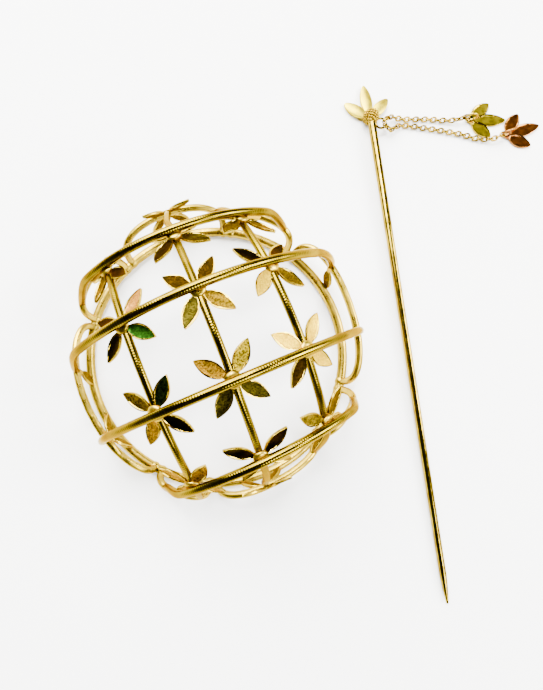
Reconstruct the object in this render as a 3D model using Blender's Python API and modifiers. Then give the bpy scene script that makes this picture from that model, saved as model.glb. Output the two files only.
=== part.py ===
"""Bun cage with its hair stick, two short chains and two leaf charms.

The cage is a dome of round wire: a rim made of a base ring and eight scallop arches that lean out
from it, and four long wires over three cross wires, with sprigs of flat pointed leaves at the crossings.
The rim is one piece, and each wire is one, with its leaves; they keep a small gap from each other.
The hair stick lies drawn out beside it, with its chains laid on the same surface.
Units are metres, +Z is up, and everything rests on z = 0.
X runs along the cage's long wires and Y along its cross wires.
"""
import math

import bmesh
import bpy
from mathutils import Matrix, Vector
from mathutils.geometry import intersect_point_line

MM = 0.001

# Base ring, a round wire with a narrow flat underneath where it rests
RING_RADIUS = 40.0 * MM
RING_WIRE = 2.8 * MM
RING_STEPS = 72

# Clear gap between the cage's pieces
GAP = 0.3 * MM

# Scallop arches, bent from wire and soldered to the ring by both feet
ARCH_WIRE = 2.2 * MM
ARCH_RISE = 8.2 * MM
ARCH_LEAN = 3.8 * MM
ARCH_SQUARENESS = 3.0
ARCH_FOOT_GAP = 0.4 * MM
ARCH_STEPS = 14
# name, first foot and last foot in degrees around the ring, and how far the arch leans out at its
# first shoulder, its middle and its last shoulder, as shares of the general lean
ARCHES = (
    ("right", -37.0, 31.5, (1.2, 0.7, 1.7)),
    ("upper_right", 31.5, 62.5, (0.95, 1.0, 1.0)),
    ("top", 62.5, 112.0, (1.5, 1.4, 1.45)),
    ("upper_left", 112.0, 143.5, (1.1, 1.1, 1.05)),
    ("left", 143.5, 221.0, (1.0, 0.4, 0.6)),
    ("lower_left", 221.0, 246.5, (0.65, 0.75, 0.85)),
    ("bottom", 246.5, 297.0, (1.0, 0.5, 0.6)),
    ("lower_right", 297.0, 323.0, (0.3, 0.7, 1.1)),
)

# Dome that the wires are bent over: its height, how far its side swells past the arches, its roundness
DOME_HEIGHT = 46.0 * MM
DOME_SWELL = 0.6 * MM
DOME_ROUNDNESS = 1.85

# Wires over the dome; the long ones lie over the cross ones, and all end just above an arch's crown
LONG_WIRE = 2.3 * MM
CROSS_WIRE = 2.0 * MM
WIRE_STEPS = 22
# share of the way to the rim from which a wire bends towards the crown that it ends on
LONG_BEND = 0.88
CROSS_BEND = 0.84
# name, distance from the middle as a share of the ring's radius, turn in degrees
LONG_WIRES = (
    ("long_1", 0.71, -1.6),
    ("long_2", 0.275, 0.0),
    ("long_3", -0.275, 0.3),
    ("long_4", -0.76, 3.0),
)
CROSS_WIRES = (
    ("cross_1", -0.49, -0.4),
    ("cross_2", -0.0075, -1.2),
    ("cross_3", 0.46, -0.3),
)

# Leaves cut from sheet: a short stem and a pointed blade, four to a sprig
LEAF_REACH = 9.8 * MM
LEAF_WIDTH = 3.8 * MM
LEAF_STEM = 2.6 * MM
LEAF_STEM_WIDTH = 1.3 * MM
LEAF_SHEET = 0.7 * MM
LEAF_ARC_STEPS = 4
# direction in degrees from the long wire, droop in degrees
SPRIG_LEAVES = (
    (36.0, 7.0),
    (139.0, 8.6),
    (227.0, 6.2),
    (316.0, 7.8),
)
# how far each of the four is turned by hand where it was soldered on, in degrees
SPRIG_TURNS = {
    ("long_1", "cross_1"): (0.0, 0.0, 2.0, -15.0),
    ("long_1", "cross_2"): (0.0, 0.0, -2.0, 8.0),
    ("long_1", "cross_3"): (0.0, 0.0, 0.0, 16.0),
    ("long_2", "cross_1"): (2.0, 3.0, -13.0, -2.0),
    ("long_2", "cross_2"): (13.0, -8.0, 4.0, -6.0),
    ("long_2", "cross_3"): (6.0, -5.0, 2.0, 3.0),
    ("long_3", "cross_1"): (17.0, 0.0, 5.0, -3.0),
    ("long_3", "cross_2"): (12.0, -6.0, 0.0, -4.0),
    ("long_3", "cross_3"): (4.0, -4.0, -4.0, -3.0),
    ("long_4", "cross_1"): (17.0, 0.0, 0.0, 0.0),
    ("long_4", "cross_2"): (-7.0, 5.0, 0.0, 0.0),
    ("long_4", "cross_3"): (0.0, -7.0, 0.0, 0.0),
}
# the same at the rim, where 0 runs round the rim and 90 up the dome
RIM_LEAVES = (
    (41.0, 1.0),
    (138.0, 2.2),
    (222.0, 24.0),
    (317.0, 26.0),
)
# wire, its end and the leaves there
RIM_SPRIGS = (
    ("cross_2", 1, RIM_LEAVES),
    ("cross_2", -1, RIM_LEAVES),
    ("long_3", -1, RIM_LEAVES),
    ("long_2", -1, ((300.0, 24.0),)),
    ("long_2", 1, ((240.0, 24.0),)),
)

# Hair stick: tapered shaft, a knot and a fan of three leaves at its head
STICK_LENGTH = 156.0 * MM
STICK_HEAD_WIRE = 2.5 * MM
STICK_SHOULDER_WIRE = 2.0 * MM
STICK_TIP_WIRE = 0.7 * MM
STICK_POINT = 8.0 * MM
STICK_SIDES = 12
KNOT_RADIUS = 2.7 * MM
HEAD_PLACE = Vector((78.0 * MM, 53.5 * MM))
STICK_TURN = -105.9
FAN_SPREAD = 47.0
FAN_MIDDLE_REACH = 12.8 * MM
FAN_SIDE_REACH = 10.1 * MM
FAN_SHEET_HEIGHT = 1.6 * MM
FAN_DROOP = 5.0

# Charms, each three leaves on a loop
CHARM_SPREAD = 40.0
CHARM_MIDDLE_REACH = 12.4 * MM
CHARM_SIDE_REACH = 9.2 * MM
CHARM_LEAF_WIDTH = 4.3 * MM

# Chains of oval links, each turned a quarter against the next
LINK_LENGTH = 3.0 * MM
LINK_WIDTH = 2.1 * MM
LINK_WIRE = 0.5 * MM
LINK_BITE = 0.16 * MM
LINK_STEPS = 10
LINK_SIDES = 5
TWIST_LINKS = 3
RISE_LINKS = 4
SHORT_CHAIN_LINKS = 14
LONG_CHAIN_LINKS = 20

# Loops that the end links pass through
LOOP_WIRE = 0.7 * MM
LOOP_RADIUS = 1.7 * MM
LOOP_STEPS = 16
LOOP_SIDES = 6
LOOP_BITE = 0.4 * MM
LINK_CLEARANCE = 0.35 * MM
HEAD_LOOP_TURN = -58.0
SHORT_CHAIN_TURN = 18.0
LONG_CHAIN_TURN = -52.0
SHORT_CHARM_TURN = -23.0
LONG_CHARM_TURN = -5.0

# Routes of the two chains over the surface, as chosen points in millimetres
SHORT_CHAIN_ROUTE = ((87.8, 49.8), (97.1, 45.9), (104.6, 42.1), (112.0, 41.2))
LONG_CHAIN_ROUTE = ((86.9, 47.7), (95.7, 42.8), (104.3, 37.2), (110.0, 32.8), (115.4, 31.0), (121.0, 34.4))

GOLD = (0.86, 0.62, 0.22)
BRIGHT_GOLD = (0.90, 0.70, 0.28)
YELLOW_GOLD = (0.80, 0.66, 0.16)
COPPER_GOLD = (0.58, 0.33, 0.12)

RING_HEIGHT = RING_WIRE / 2
RIM_RADIUS = RING_RADIUS + ARCH_LEAN
RIM_HEIGHT = RING_HEIGHT + ARCH_RISE
DOME_RADIUS = RIM_RADIUS + DOME_SWELL
LEAF_LIFT = (LEAF_SHEET + GAP) / 2
LINK_PITCH = LINK_LENGTH - 2 * LINK_WIRE + LINK_BITE
LINK_END = (LINK_LENGTH - LINK_WIRE) / 2
LINK_TO_LOOP = (LINK_WIRE + LOOP_WIRE) / 2 + LINK_CLEARANCE


def clear_scene():
    for obj in list(bpy.data.objects):
        bpy.data.objects.remove(obj, do_unlink=True)


def new_collection(name, hidden=False):
    collection = bpy.data.collections.new(name)
    bpy.context.scene.collection.children.link(collection)
    collection.hide_render = hidden
    return collection


def gold(name, colour, roughness):
    material = bpy.data.materials.new(name)
    material.use_nodes = True
    shader = material.node_tree.nodes["Principled BSDF"]
    shader.inputs["Base Color"].default_value = (*colour, 1.0)
    shader.inputs["Metallic"].default_value = 1.0
    shader.inputs["Roughness"].default_value = roughness
    material.diffuse_color = (*colour, 1.0)
    return material


def put_in(mesh, name, collection):
    obj = bpy.data.objects.new(name, mesh)
    collection.objects.link(obj)
    return obj


def close_up(mesh):
    """Weld a mesh's seams and caps, and point its faces outwards."""
    shape = bmesh.new()
    shape.from_mesh(mesh)
    bmesh.ops.remove_doubles(shape, verts=shape.verts, dist=0.001 * MM)
    bmesh.ops.dissolve_degenerate(shape, edges=shape.edges, dist=0.001 * MM)
    bmesh.ops.recalc_face_normals(shape, faces=shape.faces)
    shape.to_mesh(mesh)
    shape.free()
    return mesh


def mesh_of(obj):
    """The finished mesh of an object with a curve or live modifiers; the object is removed."""
    view = bpy.context.view_layer
    view.update()
    graph = bpy.context.evaluated_depsgraph_get()
    mesh = bpy.data.meshes.new_from_object(obj.evaluated_get(graph))
    mesh.transform(obj.matrix_world)
    bpy.data.objects.remove(obj, do_unlink=True)
    return close_up(mesh)


def wire(points, thickness, parts):
    """A round wire along the points, with flat ends."""
    curve = bpy.data.curves.new("wire", "CURVE")
    curve.dimensions = "3D"
    curve.bevel_depth = thickness / 2
    curve.bevel_resolution = 2
    curve.use_fill_caps = True
    spline = curve.splines.new("POLY")
    spline.points.add(len(points) - 1)
    for slot, point in zip(spline.points, points):
        slot.co = (*point, 1.0)
    obj = bpy.data.objects.new("wire", curve)
    parts.objects.link(obj)
    return put_in(mesh_of(obj), "wire", parts)


def turned(profile, steps, parts, closed=False):
    """A body of revolution about Z from a profile of (radius, height) points."""
    shape = bmesh.new()
    corners = [shape.verts.new((radius, 0.0, height)) for radius, height in profile]
    pairs = list(zip(corners, corners[1:]))
    if closed:
        pairs.append((corners[-1], corners[0]))
    for first, second in pairs:
        shape.edges.new((first, second))
    mesh = bpy.data.meshes.new("turned")
    shape.to_mesh(mesh)
    shape.free()
    obj = put_in(mesh, "turned", parts)
    screw = obj.modifiers.new("turn", "SCREW")
    screw.steps = steps
    screw.render_steps = steps
    screw.use_merge_vertices = True
    screw.merge_threshold = 0.001 * MM
    return put_in(mesh_of(obj), "turned", parts)


def round_section(radius, thickness, height, sides):
    """Corners of a wire's section with a flat underneath, as (radius, height) points."""
    corner = thickness / 2 / math.cos(math.pi / sides)
    angles = [(step + 0.5) * 2 * math.pi / sides for step in range(sides)]
    return [(radius + corner * math.sin(angle), height + corner * math.cos(angle)) for angle in angles]


def leaf_mesh(reach, width):
    """A flat leaf along +X from the origin, its sheet centred on z = 0."""
    stem = LEAF_STEM_WIDTH / 2
    blade = reach - LEAF_STEM
    outline = [(0.0, -stem)]
    for step in range(LEAF_ARC_STEPS + 1):
        share = (step + 0.6) / (LEAF_ARC_STEPS + 0.6)
        half = width / 2 * math.sin(math.pi * min(share, 1.0)) ** 0.8 if share < 1.0 else 0.0
        outline.append((LEAF_STEM + blade * share, -max(half, 0.0)))
    mirrored = [(x, -y) for x, y in reversed(outline) if y < 0.0]
    curve = bpy.data.curves.new("leaf", "CURVE")
    curve.dimensions = "2D"
    curve.fill_mode = "BOTH"
    curve.extrude = LEAF_SHEET / 2
    points = outline + mirrored
    spline = curve.splines.new("POLY")
    spline.points.add(len(points) - 1)
    spline.use_cyclic_u = True
    for slot, (x, y) in zip(spline.points, points):
        slot.co = (x, y, 0.0, 1.0)
    obj = bpy.data.objects.new("leaf", curve)
    bpy.context.scene.collection.objects.link(obj)
    return mesh_of(obj)


def place_leaf(pattern, centre, along, normal, droop, parts):
    """Lay a copy of the leaf at a point, along a direction, with its tip bent down from the normal."""
    across = normal.cross(along).normalized()
    along = (Matrix.Rotation(math.radians(droop), 4, across) @ along).normalized()
    normal = along.cross(across).normalized()
    turn = Matrix((along, across, normal)).transposed().to_4x4()
    mesh = pattern.copy()
    mesh.transform(Matrix.Translation(centre) @ turn)
    return put_in(mesh, "leaf", parts)


def soldered(name, pieces, parts, home, material):
    """One closed body from one piece, or from several that overlap where they are soldered."""
    body = put_in(pieces[0].data, name, parts)
    bpy.data.objects.remove(pieces[0], do_unlink=True)
    cutters = bpy.data.collections.new(name + "_pieces")
    parts.children.link(cutters)
    for piece in pieces[1:]:
        cutters.objects.link(piece)
    if pieces[1:]:
        join = body.modifiers.new("solder", "BOOLEAN")
        join.operation = "UNION"
        join.solver = "EXACT"
        join.operand_type = "COLLECTION"
        join.collection = cutters
    mesh = mesh_of(body)
    for piece in pieces[1:]:
        bpy.data.objects.remove(piece, do_unlink=True)
    bpy.data.collections.remove(cutters)
    mesh.name = name
    mesh.materials.clear()
    mesh.materials.append(material)
    return put_in(mesh, name, home)


def dome_height(radius):
    """Height of the dome at a distance from its middle; it meets the rim at RIM_RADIUS."""
    def fall(distance):
        share = min(distance / DOME_RADIUS, 1.0)
        return 1.0 - (1.0 - share ** DOME_ROUNDNESS) ** (1.0 / DOME_ROUNDNESS)
    drop = DOME_HEIGHT - RIM_HEIGHT
    return DOME_HEIGHT - drop * fall(min(radius, RIM_RADIUS)) / fall(RIM_RADIUS)


def dome_point(x, y):
    return Vector((x, y, dome_height(math.hypot(x, y))))


def dome_normal(x, y):
    """Outward normal of the dome, read over a small step towards the middle."""
    radius = math.hypot(x, y)
    step = DOME_RADIUS / 100
    if radius < step:
        return Vector((0.0, 0.0, 1.0))
    slope = (dome_height(radius - step) - dome_height(radius)) / step
    return Vector((x / radius * slope, y / radius * slope, 1.0)).normalized()


def wire_line(kind, share, turn):
    """A dome wire's middle point and direction in plan."""
    offset = share * RING_RADIUS
    angle = math.radians(turn)
    if kind == "long":
        return Vector((0.0, offset)), Vector((math.cos(angle), math.sin(angle)))
    return Vector((offset, 0.0)), Vector((-math.sin(angle), math.cos(angle)))


def rim_reach(start, along):
    """How far a line runs from its start to the rim, both ways."""
    middle = start.dot(along)
    root = math.sqrt(middle ** 2 - start.length_squared + RIM_RADIUS ** 2)
    return -middle - root, -middle + root


def arch_line(first, last, leans):
    """Middle line of a squarish scallop between two feet on the ring, leaning outwards as it rises."""
    early, middle_lean, late = leans
    foot = math.degrees((ARCH_WIRE + ARCH_FOOT_GAP) / 2 / RING_RADIUS)
    middle = math.radians((first + last) / 2)
    half = math.radians((last - first) / 2 - foot)
    points = []
    for step in range(ARCH_STEPS + 1):
        turn = math.pi * step / ARCH_STEPS
        side = math.copysign(abs(math.cos(turn)) ** (2 / ARCH_SQUARENESS), -math.cos(turn))
        rise = max(math.sin(turn), 0.0) ** (2 / ARCH_SQUARENESS)
        angle = middle + half * side
        lean = middle_lean + (late - early) / 2 * side + ((early + late) / 2 - middle_lean) * side ** 2
        radius = RING_RADIUS + ARCH_LEAN * lean * rise
        height = RING_HEIGHT + ARCH_RISE * rise
        points.append(Vector((radius * math.cos(angle), radius * math.sin(angle), height)))
    return points


def arch_crown(arches, spot):
    """The point of an arch's middle line that lies nearest to a spot on the rim."""
    rim = Vector((*spot, RIM_HEIGHT))
    nearest = None
    for line in arches:
        for first, last in zip(line, line[1:]):
            share = min(max(intersect_point_line(rim, first, last)[1], 0.0), 1.0)
            place = first.lerp(last, share)
            if nearest is None or (place - rim).length < (nearest - rim).length:
                nearest = place
    return nearest


def fits_above(end, along, thickness, near):
    """Whether the flat end of a wire keeps its gap from the arches near it."""
    side = along.orthogonal().normalized()
    other = along.cross(side)
    for step in range(12):
        angle = math.pi * step / 6
        edge = end + (side * math.cos(angle) + other * math.sin(angle)) * thickness / 2
        for first, last in near:
            share = min(max(intersect_point_line(edge, first, last)[1], 0.0), 1.0)
            if (edge - first.lerp(last, share)).length < ARCH_WIRE / 2 + 1.3 * GAP:
                return False
    return True


def stopped_at_arches(points, thickness, arches):
    """The line, cut at both ends where a wire along it would come too close to an arch."""
    for _ in range(2):
        points.reverse()
        near = [pair for line in arches for pair in zip(line, line[1:]) if (pair[0] - points[-1]).length < 4 * ARCH_LEAN]
        for spot in range(len(points) - WIRE_STEPS // 4, len(points)):
            start = points[spot - 1]
            step = (points[spot] - start).normalized() * GAP / 2
            count = int((points[spot] - start).length / step.length)
            clear = [fits_above(start + step * number, step.normalized(), thickness, near) for number in range(count)]
            if not all(clear):
                end = start + step * (clear.index(False) - 1)
                points = points[:spot] + ([end] if (end - start).length > GAP else [])
                break
    return points


def leaves_at_end(name, end):
    """Whether leaves rise from the rim beside a wire's end, so that it keeps its lift there."""
    return any(wire_name == name and side == end and leaves is RIM_LEAVES for wire_name, side, leaves in RIM_SPRIGS)


def dome_wire(name, line, thickness, lift, bend_from, arches, parts):
    """A wire bent over the dome in an upright plane, lifted off the dome's surface, that ends over the arches' crowns."""
    start, along = line
    low, high = rim_reach(start, along)
    shifts = {}
    feet = {}
    for end, reach in ((-1, low), (1, high)):
        plan = start + along * reach
        normal = dome_normal(*plan)
        crown = arch_crown(arches, plan)
        kept = lift if leaves_at_end(name, end) else 0.0
        shifts[end] = crown + normal * kept - dome_point(*plan) - normal * lift
        out = plan.normalized()
        feet[end] = Vector((*(out * (RING_RADIUS + kept)), RING_HEIGHT))
    points = []
    for step in range(WIRE_STEPS + 1):
        share = math.sin((step / WIRE_STEPS - 0.5) * math.pi)
        plan = start + along * ((low + high) / 2 + (high - low) / 2 * share)
        bend = min(max((abs(share) - bend_from) / (1 - bend_from), 0.0), 1.0)
        shift = shifts[1 if share > 0 else -1] * (bend * bend * (3 - 2 * bend))
        points.append(dome_point(*plan) + dome_normal(*plan) * lift + shift)
    points = [feet[-1]] + points + [feet[1]]
    return wire(stopped_at_arches(points, thickness, arches), thickness, parts)


def crossing(first, second):
    """Where two lines, each a start and a direction, meet in plan."""
    start, along = first
    other, across = second
    gap = other - start
    share = (gap.x * across.y - gap.y * across.x) / (along.x * across.y - along.y * across.x)
    return start + along * share


def sprig(spot, place, along, leaves, pattern, parts):
    """Leaves from a place above a spot in plan; their directions turn from along to up the dome."""
    normal = dome_normal(*spot)
    along = (along - normal * along.dot(normal)).normalized()
    up = normal.cross(along).normalized()
    pieces = []
    for direction, droop in leaves:
        angle = math.radians(direction)
        pieces.append(place_leaf(pattern, place, along * math.cos(angle) + up * math.sin(angle), normal, droop, parts))
    return pieces


def build_rim(arches, lines, leaf, parts, home, material):
    """Ring, arches and the leaves at the rim, which keep clear of the wires that end there."""
    section = round_section(RING_RADIUS, RING_WIRE, RING_HEIGHT, 8)
    pieces = [turned(section, RING_STEPS, parts, closed=True)]
    for line in arches:
        pieces.append(wire(line, ARCH_WIRE, parts))
    for name, end, leaves in RIM_SPRIGS:
        start, along = lines[name]
        spot = start + along * rim_reach(start, along)[1 if end > 0 else 0]
        around = Vector((-spot.y, spot.x, 0.0)).normalized()
        lift = LEAF_LIFT if name.startswith("cross") else -LEAF_LIFT
        place = arch_crown(arches, spot) + dome_normal(*spot) * lift
        pieces += sprig(spot, place, around, leaves, leaf, parts)
    return soldered("base_rim", pieces, parts, home, material)


def build_cage(parts, home, material):
    lines = {name: wire_line("long", share, turn) for name, share, turn in LONG_WIRES}
    lines.update({name: wire_line("cross", share, turn) for name, share, turn in CROSS_WIRES})
    leaf = leaf_mesh(LEAF_REACH, LEAF_WIDTH)
    arches = [arch_line(first, last, leans) for _, first, last, leans in ARCHES]
    nodes = [build_rim(arches, lines, leaf, parts, home, material)]
    for name, _, _ in LONG_WIRES:
        lift = (LONG_WIRE + GAP) / 2
        pieces = [dome_wire(name, lines[name], LONG_WIRE, lift, LONG_BEND, arches, parts)]
        nodes.append(soldered(name.replace("_", "_wire_"), pieces, parts, home, material))
    for name, _, _ in CROSS_WIRES:
        lift = -(CROSS_WIRE + GAP) / 2
        pieces = [dome_wire(name, lines[name], CROSS_WIRE, lift, CROSS_BEND, arches, parts)]
        for long_name, _, _ in LONG_WIRES:
            spot = crossing(lines[long_name], lines[name])
            place = dome_point(*spot) - dome_normal(*spot) * LEAF_LIFT
            turns = SPRIG_TURNS[(long_name, name)]
            leaves = [(direction + turn, droop) for (direction, droop), turn in zip(SPRIG_LEAVES, turns)]
            pieces += sprig(spot, place, lines[long_name][1].to_3d(), leaves, leaf, parts)
        nodes.append(soldered(name.replace("_", "_wire_"), pieces, parts, home, material))
    return nodes


def loop(centre, axis, parts):
    """A small round loop of wire about an axis."""
    section = round_section(LOOP_RADIUS, LOOP_WIRE, 0.0, LOOP_SIDES)
    obj = turned(section, LOOP_STEPS, parts, closed=True)
    turn = Vector((0.0, 0.0, 1.0)).rotation_difference(axis).to_matrix().to_4x4()
    obj.data.transform(Matrix.Translation(centre) @ turn)
    return obj


def heading(degrees):
    return Vector((math.cos(math.radians(degrees)), math.sin(math.radians(degrees)), 0.0))


def head_loop_centre():
    knot = Vector((*HEAD_PLACE, KNOT_RADIUS))
    return knot + heading(HEAD_LOOP_TURN) * (KNOT_RADIUS + LOOP_RADIUS - LOOP_BITE)


def build_stick(parts, home, material):
    head = Vector((*HEAD_PLACE, KNOT_RADIUS))
    shoulder = STICK_LENGTH - STICK_POINT
    tip = STICK_TIP_WIRE / 2
    profile = [
        (0.0, 0.0),
        (STICK_HEAD_WIRE / 2, 0.0),
        (STICK_SHOULDER_WIRE / 2, shoulder),
        (tip, STICK_LENGTH - tip),
        (tip * 0.6, STICK_LENGTH - tip * 0.2),
        (0.0, STICK_LENGTH),
    ]
    shaft = turned(profile, STICK_SIDES, parts)
    dip = math.asin((KNOT_RADIUS - STICK_SHOULDER_WIRE / 2) / shoulder)
    lay = Matrix.Rotation(math.radians(STICK_TURN), 4, "Z") @ Matrix.Rotation(math.pi / 2 + dip, 4, "Y")
    shaft.data.transform(Matrix.Translation(head) @ lay)

    ball = bmesh.new()
    bmesh.ops.create_uvsphere(ball, u_segments=14, v_segments=9, radius=KNOT_RADIUS)
    mesh = bpy.data.meshes.new("knot")
    ball.to_mesh(mesh)
    ball.free()
    knot = put_in(mesh, "knot", parts)
    knot.data.transform(Matrix.Translation(head) @ lay)

    pieces = [knot, shaft, loop(head_loop_centre(), Vector((0.0, 0.0, 1.0)), parts)]
    base = Vector((*HEAD_PLACE, FAN_SHEET_HEIGHT))
    middle = STICK_TURN + 180.0
    for spread, reach in ((-FAN_SPREAD, FAN_SIDE_REACH), (0.0, FAN_MIDDLE_REACH), (FAN_SPREAD, FAN_SIDE_REACH)):
        pattern = leaf_mesh(reach, LEAF_WIDTH)
        up = Vector((0.0, 0.0, 1.0))
        pieces.append(place_leaf(pattern, base, heading(middle + spread), up, FAN_DROOP, parts))
    return soldered("hair_stick", pieces, parts, home, material)


def smooth_route(points):
    """Many points along a smooth curve through the chosen ones."""
    guide = [points[0] * 2 - points[1]] + list(points) + [points[-1] * 2 - points[-2]]
    route = []
    for before, start, end, after in zip(guide, guide[1:], guide[2:], guide[3:]):
        for step in range(24):
            t = step / 24
            bend = start * 2 + (end - before) * t + (before * 2 - start * 5 + end * 4 - after) * t ** 2
            route.append((bend + (start * 3 - before - end * 3 + after) * t ** 3) / 2)
    route.append(points[-1].copy())
    return route


def link_roll(number, count):
    """A link's turn about the chain: upright at the head, flat at the charm, on edge between."""
    start = max(0.0, 1.0 - number / TWIST_LINKS)
    end = max(0.0, 1.0 - (count - 1 - number) / TWIST_LINKS)
    last = -45.0 if count % 2 else 45.0
    return 90.0 * number + 45.0 + 45.0 * start + last * end


def link_height(number, count, start_height, end_height):
    """Height of a link's middle: on the surface, and up to the loops at both ends."""
    roll = math.radians(link_roll(number, count))
    lean = max(abs(math.sin(roll)), abs(math.cos(roll)))
    rest = (LINK_WIDTH - LINK_WIRE) / 2 * lean + LINK_WIRE / 2
    start = max(0.0, 1.0 - number / RISE_LINKS) ** 1.5
    end = max(0.0, 1.0 - (count - 1 - number) / RISE_LINKS) ** 1.5
    return rest + max(start_height - rest, 0.0) * start + max(end_height - rest, 0.0) * end


def chain_places(loop_centre, turn, route, count, end_height):
    """Middle of each link, one pitch apart, from the head's loop along the route."""
    first = loop_centre + heading(turn) * (LOOP_RADIUS - LINK_TO_LOOP + LINK_END)
    plan = [first.xy, (first + heading(turn) * LINK_PITCH).xy] + [Vector(point) * MM for point in route]
    curve = smooth_route(plan)
    places = [first]
    spot = 0
    for number in range(1, count):
        height = link_height(number, count, loop_centre.z, end_height)
        while spot < len(curve) - 2 and (Vector((*curve[spot + 1], height)) - places[-1]).length < LINK_PITCH:
            spot += 1
        low = 0.0
        high = 1.0
        for _ in range(30):
            share = (low + high) / 2
            place = Vector((*curve[spot].lerp(curve[spot + 1], share), height))
            if (place - places[-1]).length < LINK_PITCH:
                low = share
            else:
                high = share
        places.append(place)
    return places


def link(place, along, roll, parts):
    """An oval link, long way along the chain."""
    shape = bmesh.new()
    side = Vector((0.0, 0.0, 1.0)).cross(along).normalized()
    up = along.cross(side)
    turn = math.radians(roll)
    flat = side * math.cos(turn) + up * math.sin(turn)
    normal = along.cross(flat)
    rings = []
    for step in range(LINK_STEPS):
        angle = 2 * math.pi * step / LINK_STEPS
        reach = abs(math.cos(angle)) ** 0.8
        centre = along * math.copysign(LINK_END * reach, math.cos(angle))
        centre += flat * ((LINK_WIDTH - LINK_WIRE) / 2 * math.sin(angle))
        outward = (along * math.cos(angle) / LINK_LENGTH + flat * math.sin(angle) / LINK_WIDTH).normalized()
        ring = bmesh.ops.create_circle(shape, segments=LINK_SIDES, radius=LINK_WIRE / 2)["verts"]
        frame = Matrix((outward, normal, outward.cross(normal))).transposed().to_4x4()
        bmesh.ops.transform(shape, matrix=Matrix.Translation(place + centre) @ frame, verts=ring)
        rings.append(ring)
    hoops = [list({edge for vert in ring for edge in vert.link_edges}) for ring in rings]
    for first, second in zip(hoops, hoops[1:] + hoops[:1]):
        bmesh.ops.bridge_loops(shape, edges=first + second)
    bmesh.ops.recalc_face_normals(shape, faces=shape.faces)
    mesh = bpy.data.meshes.new("link")
    shape.to_mesh(mesh)
    shape.free()
    return put_in(mesh, "link", parts)


def build_chain(name, places, parts, home, material):
    pieces = []
    for number, place in enumerate(places):
        before = places[max(number - 1, 0)]
        after = places[min(number + 1, len(places) - 1)]
        along = (after - before).normalized()
        pieces.append(link(place, along, link_roll(number, len(places)), parts))
    return soldered(name, pieces, parts, home, material)


def build_charm(name, places, turn, parts, home, material):
    """Three leaves flat on the surface, with a loop standing at their base for the chain's last link."""
    along = (places[-1] - places[-2])
    along.z = 0.0
    hook = places[-1] + along.normalized() * (LINK_END - LINK_TO_LOOP)
    centre = hook + heading(turn) * LOOP_RADIUS
    centre.z = charm_loop_height()
    pieces = [loop(centre, heading(turn + 90.0), parts)]
    base = Vector((centre.x, centre.y, LEAF_SHEET / 2))
    up = Vector((0.0, 0.0, 1.0))
    for spread in (-CHARM_SPREAD, 0.0, CHARM_SPREAD):
        reach = CHARM_SIDE_REACH if spread else CHARM_MIDDLE_REACH
        pattern = leaf_mesh(reach, CHARM_LEAF_WIDTH)
        pieces.append(place_leaf(pattern, base, heading(turn + spread), up, 0.0, parts))
    return soldered(name, pieces, parts, home, material)


def charm_loop_height():
    return LOOP_RADIUS + LOOP_WIRE / 2 / math.cos(math.pi / LOOP_SIDES)


def centre_on_floor(objects):
    """Put the middle of the whole layout over the origin."""
    corners = [vert.co for obj in objects for vert in obj.data.vertices]
    middle = Vector([(min(c[axis] for c in corners) + max(c[axis] for c in corners)) / 2 for axis in range(2)])
    for obj in objects:
        obj.data.transform(Matrix.Translation((-middle.x, -middle.y, 0.0)))
    return middle


def main():
    clear_scene()
    home = new_collection("bun_cage_with_hair_stick")
    parts = new_collection("cutters", hidden=True)
    bright = gold("bright_gold", BRIGHT_GOLD, 0.22)
    plain = gold("gold", GOLD, 0.25)
    fine = gold("chain_gold", GOLD, 0.3)
    yellow = gold("yellow_gold", YELLOW_GOLD, 0.3)
    copper = gold("copper_gold", COPPER_GOLD, 0.3)
    objects = build_cage(parts, home, bright)
    objects.append(build_stick(parts, home, plain))
    start = head_loop_centre()
    end_height = charm_loop_height()
    short = chain_places(start, SHORT_CHAIN_TURN, SHORT_CHAIN_ROUTE, SHORT_CHAIN_LINKS, end_height)
    long = chain_places(start, LONG_CHAIN_TURN, LONG_CHAIN_ROUTE, LONG_CHAIN_LINKS, end_height)
    objects.append(build_chain("short_chain", short, parts, home, fine))
    objects.append(build_chain("long_chain", long, parts, home, fine))
    objects.append(build_charm("short_chain_charm", short, SHORT_CHARM_TURN, parts, home, yellow))
    objects.append(build_charm("long_chain_charm", long, LONG_CHARM_TURN, parts, home, copper))
    middle = centre_on_floor(objects)
    print("cage centre is at", round(-middle.x / MM, 3), round(-middle.y / MM, 3), "mm")
    for obj in objects:
        print(obj.name, len(obj.data.polygons), "faces")


main()
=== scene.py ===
"""Looks of a bun cage and its hair stick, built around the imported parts.

The cage is gold-plated brass: polished round wires over a rim of ring and scallop arches, and leaves
punched from sheet, with a sandblasted face and a polished edge. The stick lies beside it with its
knot, its fan of three leaves, two fine chains and their leaf charms.
Pieces are drawn in the cage's own plan, X along its long wires and Y along its cross wires, and then
moved to where the frame has the cage's ring.
"""

import math

import bmesh
import bpy
from mathutils import Matrix, Vector


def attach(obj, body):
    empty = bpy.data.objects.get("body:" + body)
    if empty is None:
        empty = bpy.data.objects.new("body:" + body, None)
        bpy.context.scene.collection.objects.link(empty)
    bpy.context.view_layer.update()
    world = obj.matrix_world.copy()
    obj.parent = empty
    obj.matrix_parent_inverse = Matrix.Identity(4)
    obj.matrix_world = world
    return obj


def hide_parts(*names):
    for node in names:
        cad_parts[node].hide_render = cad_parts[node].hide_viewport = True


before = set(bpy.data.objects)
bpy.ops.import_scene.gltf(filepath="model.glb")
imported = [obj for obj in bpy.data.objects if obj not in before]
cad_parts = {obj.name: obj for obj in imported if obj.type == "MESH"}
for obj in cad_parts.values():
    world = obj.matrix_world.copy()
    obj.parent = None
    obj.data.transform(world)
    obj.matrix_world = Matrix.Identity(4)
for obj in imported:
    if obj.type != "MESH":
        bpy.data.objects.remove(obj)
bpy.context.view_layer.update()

MM = 0.001
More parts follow.
